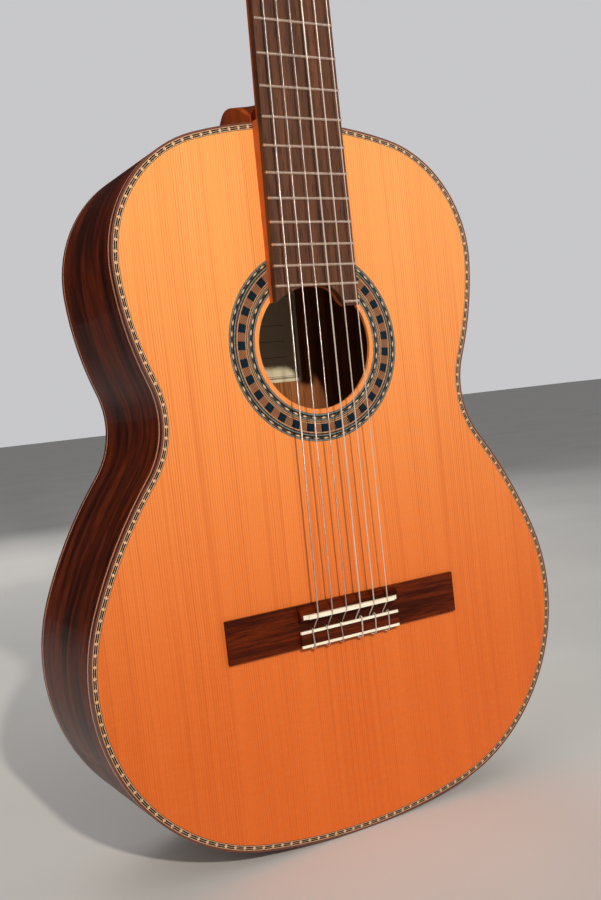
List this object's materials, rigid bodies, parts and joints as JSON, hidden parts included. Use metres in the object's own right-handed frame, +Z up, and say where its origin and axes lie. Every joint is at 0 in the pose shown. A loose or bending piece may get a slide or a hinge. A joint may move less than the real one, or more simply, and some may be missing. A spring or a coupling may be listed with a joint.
{
  "type": "classical guitar",
  "caption": "Classical guitar with slotted head, geared tuners, inlaid rosette and rope purfling, tie bridge and fretted board raised above the body.",
  "frame": {"origin": "tail end of the body on the centre line, in the outer face of the soundboard", "axes": "+Z up the neck, +X towards the treble strings, +Y towards the back"},
  "size_m": [0.3702, 0.1337, 1.0012],
  "materials": {
    "soundboard": "gloss",
    "inlay": "gloss",
    "binding": "gloss",
    "light_line": "gloss",
    "side_wood": "gloss",
    "inner_wood": "satin",
    "label": "matte",
    "neck_wood": "gloss",
    "fingerboard": "satin",
    "fret_metal": "polished",
    "bone": "satin",
    "wound_string": "wound",
    "plain_string": "clear",
    "machine_metal": "polished",
    "gear_metal": "polished",
    "roller": "gloss",
    "button": "pearl"
  },
  "bodies": {
    "body": {"soundboard": "soundboard", "rosette": "inlay", "purfling_top": "inlay", "binding_top": "binding", "side_lines": "light_line", "rib_bass": "side_wood", "rib_treble": "side_wood", "binding_back": "binding", "back_plate": "side_wood", "end_graft": "binding", "tail_block": "inner_wood", "linings": "inner_wood", "soundboard_braces": "inner_wood", "back_braces": "inner_wood", "back_centre_strip": "inner_wood", "label": "label", "neck": "neck_wood", "heel_cap": "side_wood", "fingerboard_wedge": "neck_wood", "fingerboard": "fingerboard", "frets": "fret_metal", "nut": "bone", "headstock": "neck_wood", "head_veneer": "side_wood", "bridge": "side_wood", "saddle": "bone", "tie_strips": "bone", "string_6": "wound_string", "string_5": "wound_string", "string_4": "wound_string", "string_3": "plain_string", "string_2": "plain_string", "string_1": "plain_string", "tuner_plate_bass": "machine_metal", "tuner_plate_treble": "machine_metal", "tuner_plate_screws": "machine_metal"},
    "button_6": {"tuner_worm_6": "machine_metal", "tuner_button_6": "button"},
    "roller_6": {"tuner_roller_6": "roller", "tuner_gear_6": "gear_metal"},
    "button_5": {"tuner_worm_5": "machine_metal", "tuner_button_5": "button"},
    "roller_5": {"tuner_roller_5": "roller", "tuner_gear_5": "gear_metal"},
    "button_4": {"tuner_worm_4": "machine_metal", "tuner_button_4": "button"},
    "roller_4": {"tuner_roller_4": "roller", "tuner_gear_4": "gear_metal"},
    "button_1": {"tuner_worm_1": "machine_metal", "tuner_button_1": "button"},
    "roller_1": {"tuner_roller_1": "roller", "tuner_gear_1": "gear_metal"},
    "button_2": {"tuner_worm_2": "machine_metal", "tuner_button_2": "button"},
    "roller_2": {"tuner_roller_2": "roller", "tuner_gear_2": "gear_metal"},
    "button_3": {"tuner_worm_3": "machine_metal", "tuner_button_3": "button"},
    "roller_3": {"tuner_roller_3": "roller", "tuner_gear_3": "gear_metal"}
  },
  "joints": [
    {"name": "button_6_turn", "type": "hinge", "parent": "body", "child": "button_6", "pos_m": [-0.042, 0.00297, 0.8737], "axis": [0, 0.9763, -0.2164], "continuous": true},
    {"name": "roller_6_turn", "type": "hinge", "parent": "body", "child": "roller_6", "pos_m": [-0.02, 0.00103, 0.86491], "axis": [1, 0, 0], "continuous": true},
    {"name": "button_5_turn", "type": "hinge", "parent": "body", "child": "button_5", "pos_m": [-0.042, 0.01055, 0.90787], "axis": [0, 0.9763, -0.2164], "continuous": true},
    {"name": "roller_5_turn", "type": "hinge", "parent": "body", "child": "roller_5", "pos_m": [-0.02, 0.0086, 0.89908], "axis": [1, 0, 0], "continuous": true},
    {"name": "button_4_turn", "type": "hinge", "parent": "body", "child": "button_4", "pos_m": [-0.042, 0.01812, 0.94204], "axis": [0, 0.9763, -0.2164], "continuous": true},
    {"name": "roller_4_turn", "type": "hinge", "parent": "body", "child": "roller_4", "pos_m": [-0.02, 0.01618, 0.93325], "axis": [1, 0, 0], "continuous": true},
    {"name": "button_1_turn", "type": "hinge", "parent": "body", "child": "button_1", "pos_m": [0.042, 0.00297, 0.8737], "axis": [0, 0.9763, -0.2164], "continuous": true},
    {"name": "roller_1_turn", "type": "hinge", "parent": "body", "child": "roller_1", "pos_m": [0.02, 0.00103, 0.86491], "axis": [1, 0, 0], "continuous": true},
    {"name": "button_2_turn", "type": "hinge", "parent": "body", "child": "button_2", "pos_m": [0.042, 0.01055, 0.90787], "axis": [0, 0.9763, -0.2164], "continuous": true},
    {"name": "roller_2_turn", "type": "hinge", "parent": "body", "child": "roller_2", "pos_m": [0.02, 0.0086, 0.89908], "axis": [1, 0, 0], "continuous": true},
    {"name": "button_3_turn", "type": "hinge", "parent": "body", "child": "button_3", "pos_m": [0.042, 0.01812, 0.94204], "axis": [0, 0.9763, -0.2164], "continuous": true},
    {"name": "roller_3_turn", "type": "hinge", "parent": "body", "child": "roller_3", "pos_m": [0.02, 0.01618, 0.93325], "axis": [1, 0, 0], "continuous": true}
  ],
  "couplings": [
    {"joint": "roller_6_turn", "follows": "button_6_turn", "ratio": 0.066667},
    {"joint": "roller_5_turn", "follows": "button_5_turn", "ratio": 0.066667},
    {"joint": "roller_4_turn", "follows": "button_4_turn", "ratio": 0.066667},
    {"joint": "roller_1_turn", "follows": "button_1_turn", "ratio": 0.066667},
    {"joint": "roller_2_turn", "follows": "button_2_turn", "ratio": 0.066667},
    {"joint": "roller_3_turn", "follows": "button_3_turn", "ratio": 0.066667}
  ]
}
